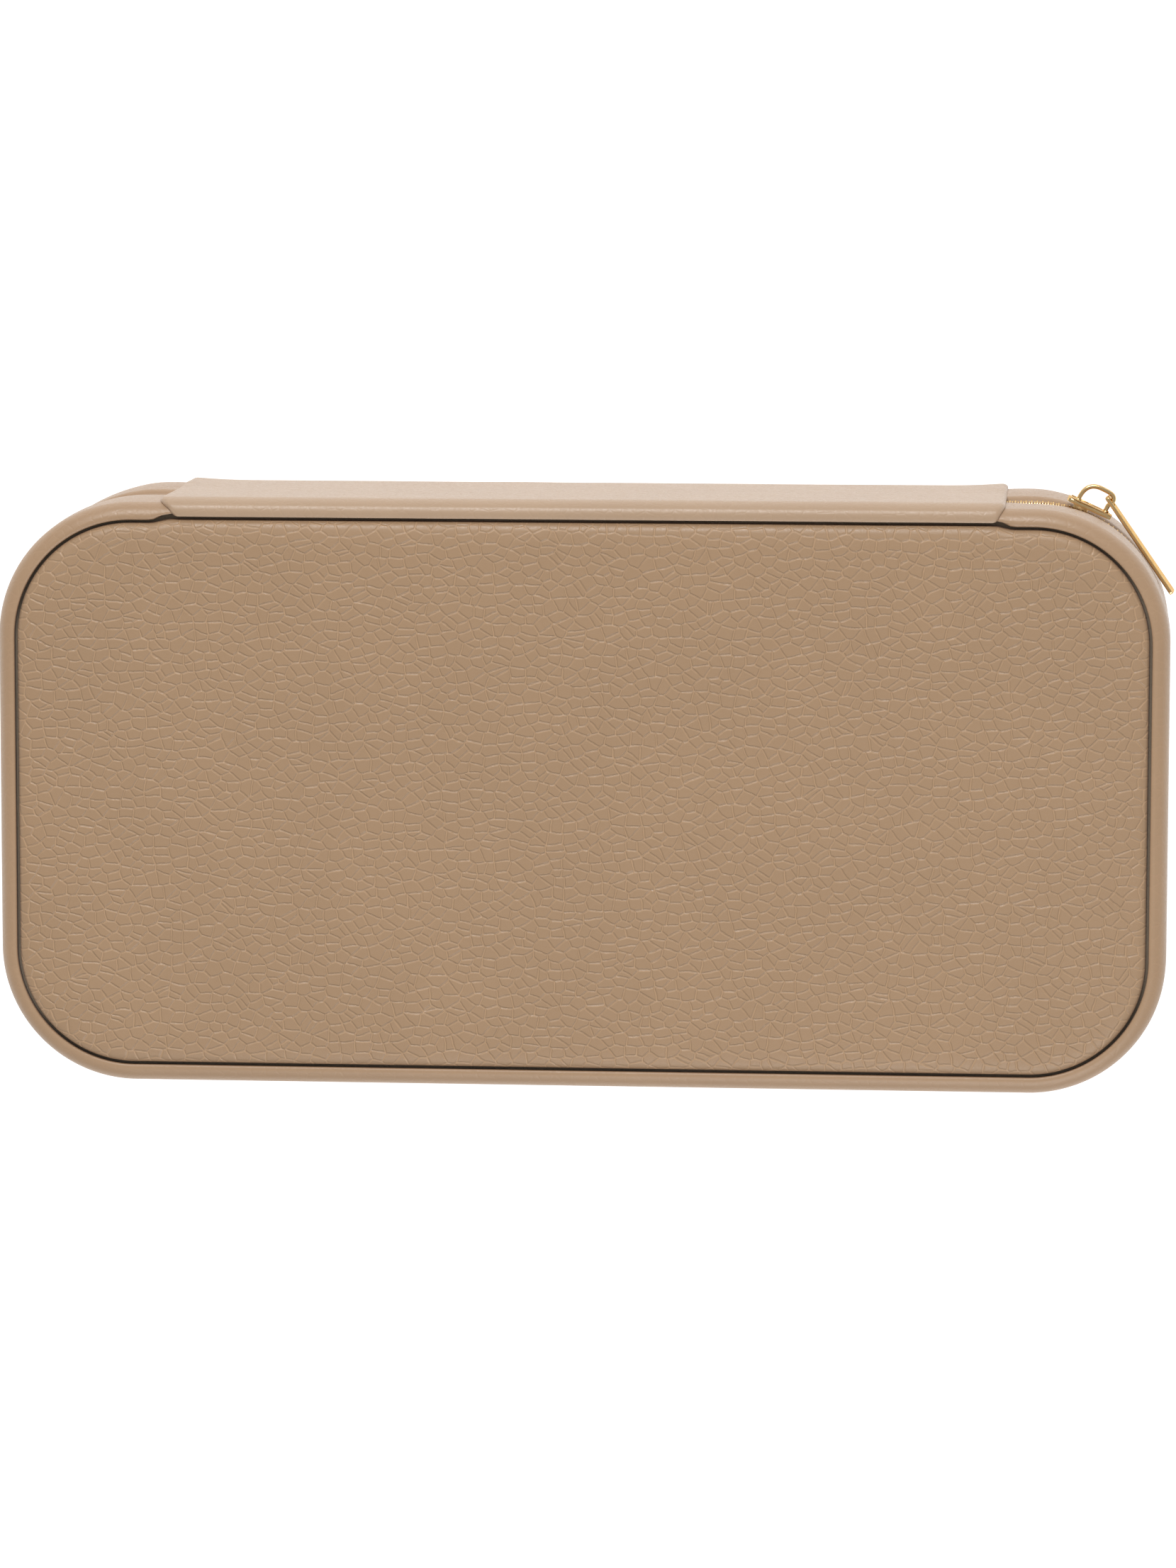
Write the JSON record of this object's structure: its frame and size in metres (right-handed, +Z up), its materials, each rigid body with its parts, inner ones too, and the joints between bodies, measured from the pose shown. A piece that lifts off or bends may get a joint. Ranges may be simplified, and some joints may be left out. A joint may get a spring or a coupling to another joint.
{
  "type": "travel jewellery case",
  "caption": "Zip-round leather travel jewellery case: two equal padded halves on a leather spine, with compartments, ring rolls, necklace hooks and a lid pocket.",
  "frame": {"origin": "centre of the flat face of the underside panel", "axes": "+X along the spine, +Y towards the spine, +Z up out of the lid"},
  "size_m": [0.2509, 0.1286, 0.057],
  "materials": {
    "panel_leather": "satin pebble grain",
    "rim_leather": "satin fine grain",
    "spine_leather": "satin pebble grain",
    "velvet": "short velvet pile",
    "paperboard": "matt",
    "foam": "matt foam",
    "zip_tape": "matt woven",
    "zip_teeth": "metallised nylon coil",
    "gold_metal": "polished pale gold plating"
  },
  "bodies": {
    "base": {"base_side_leather": "rim_leather", "base_frame": "paperboard", "base_board": "paperboard", "base_foam": "foam", "base_panel": "panel_leather", "base_lining": "velvet", "divider_left_cross": "velvet", "divider_right_cross": "velvet", "divider_centre": "velvet", "divider_left": "velvet", "divider_right_front": "velvet", "divider_right_rear": "velvet", "ring_roll_1": "velvet", "ring_roll_2": "velvet", "ring_roll_3": "velvet", "ring_roll_4": "velvet", "ring_roll_5": "velvet", "ring_roll_6": "velvet", "zip_tape_base": "zip_tape", "zip_coil_base": "zip_teeth", "zip_end_tape": "zip_tape", "zip_end_coil": "zip_teeth", "zip_top_stop": "gold_metal", "zip_bottom_stop": "gold_metal", "hinge_strip_base": "spine_leather", "hinge_lining": "velvet"},
    "lid": {"lid_side_leather": "rim_leather", "lid_frame": "paperboard", "lid_board": "paperboard", "lid_foam": "foam", "lid_panel": "panel_leather", "lid_lining": "velvet", "hook_bar": "rim_leather", "necklace_hook_1": "gold_metal", "necklace_hook_2": "gold_metal", "necklace_hook_3": "gold_metal", "necklace_hook_4": "gold_metal", "necklace_hook_5": "gold_metal", "lid_pocket": "velvet", "pocket_elastic": "velvet", "zip_tape_lid": "zip_tape", "zip_coil_lid": "zip_teeth", "hinge_strip_lid": "spine_leather"},
    "slider": {"slider_body": "gold_metal", "slider_bail": "gold_metal"},
    "pull": {"zip_pull": "gold_metal"}
  },
  "joints": [
    {"name": "lid_hinge", "type": "hinge", "parent": "base", "child": "lid", "pos_m": [0, 0.064, 0.0285], "axis": [-1, 0, 0], "range_deg": [0, 178]},
    {"name": "slider_travel", "type": "hinge", "parent": "base", "child": "slider", "pos_m": [0.096, 0.0335, 0.0285], "axis": [0, 0, 1], "range_deg": [-34, 4]},
    {"name": "pull_swing", "type": "hinge", "parent": "slider", "child": "pull", "pos_m": [0.11174, 0.06295, 0.0285], "axis": [0, 0, 1], "range_deg": [0, 100]}
  ]
}
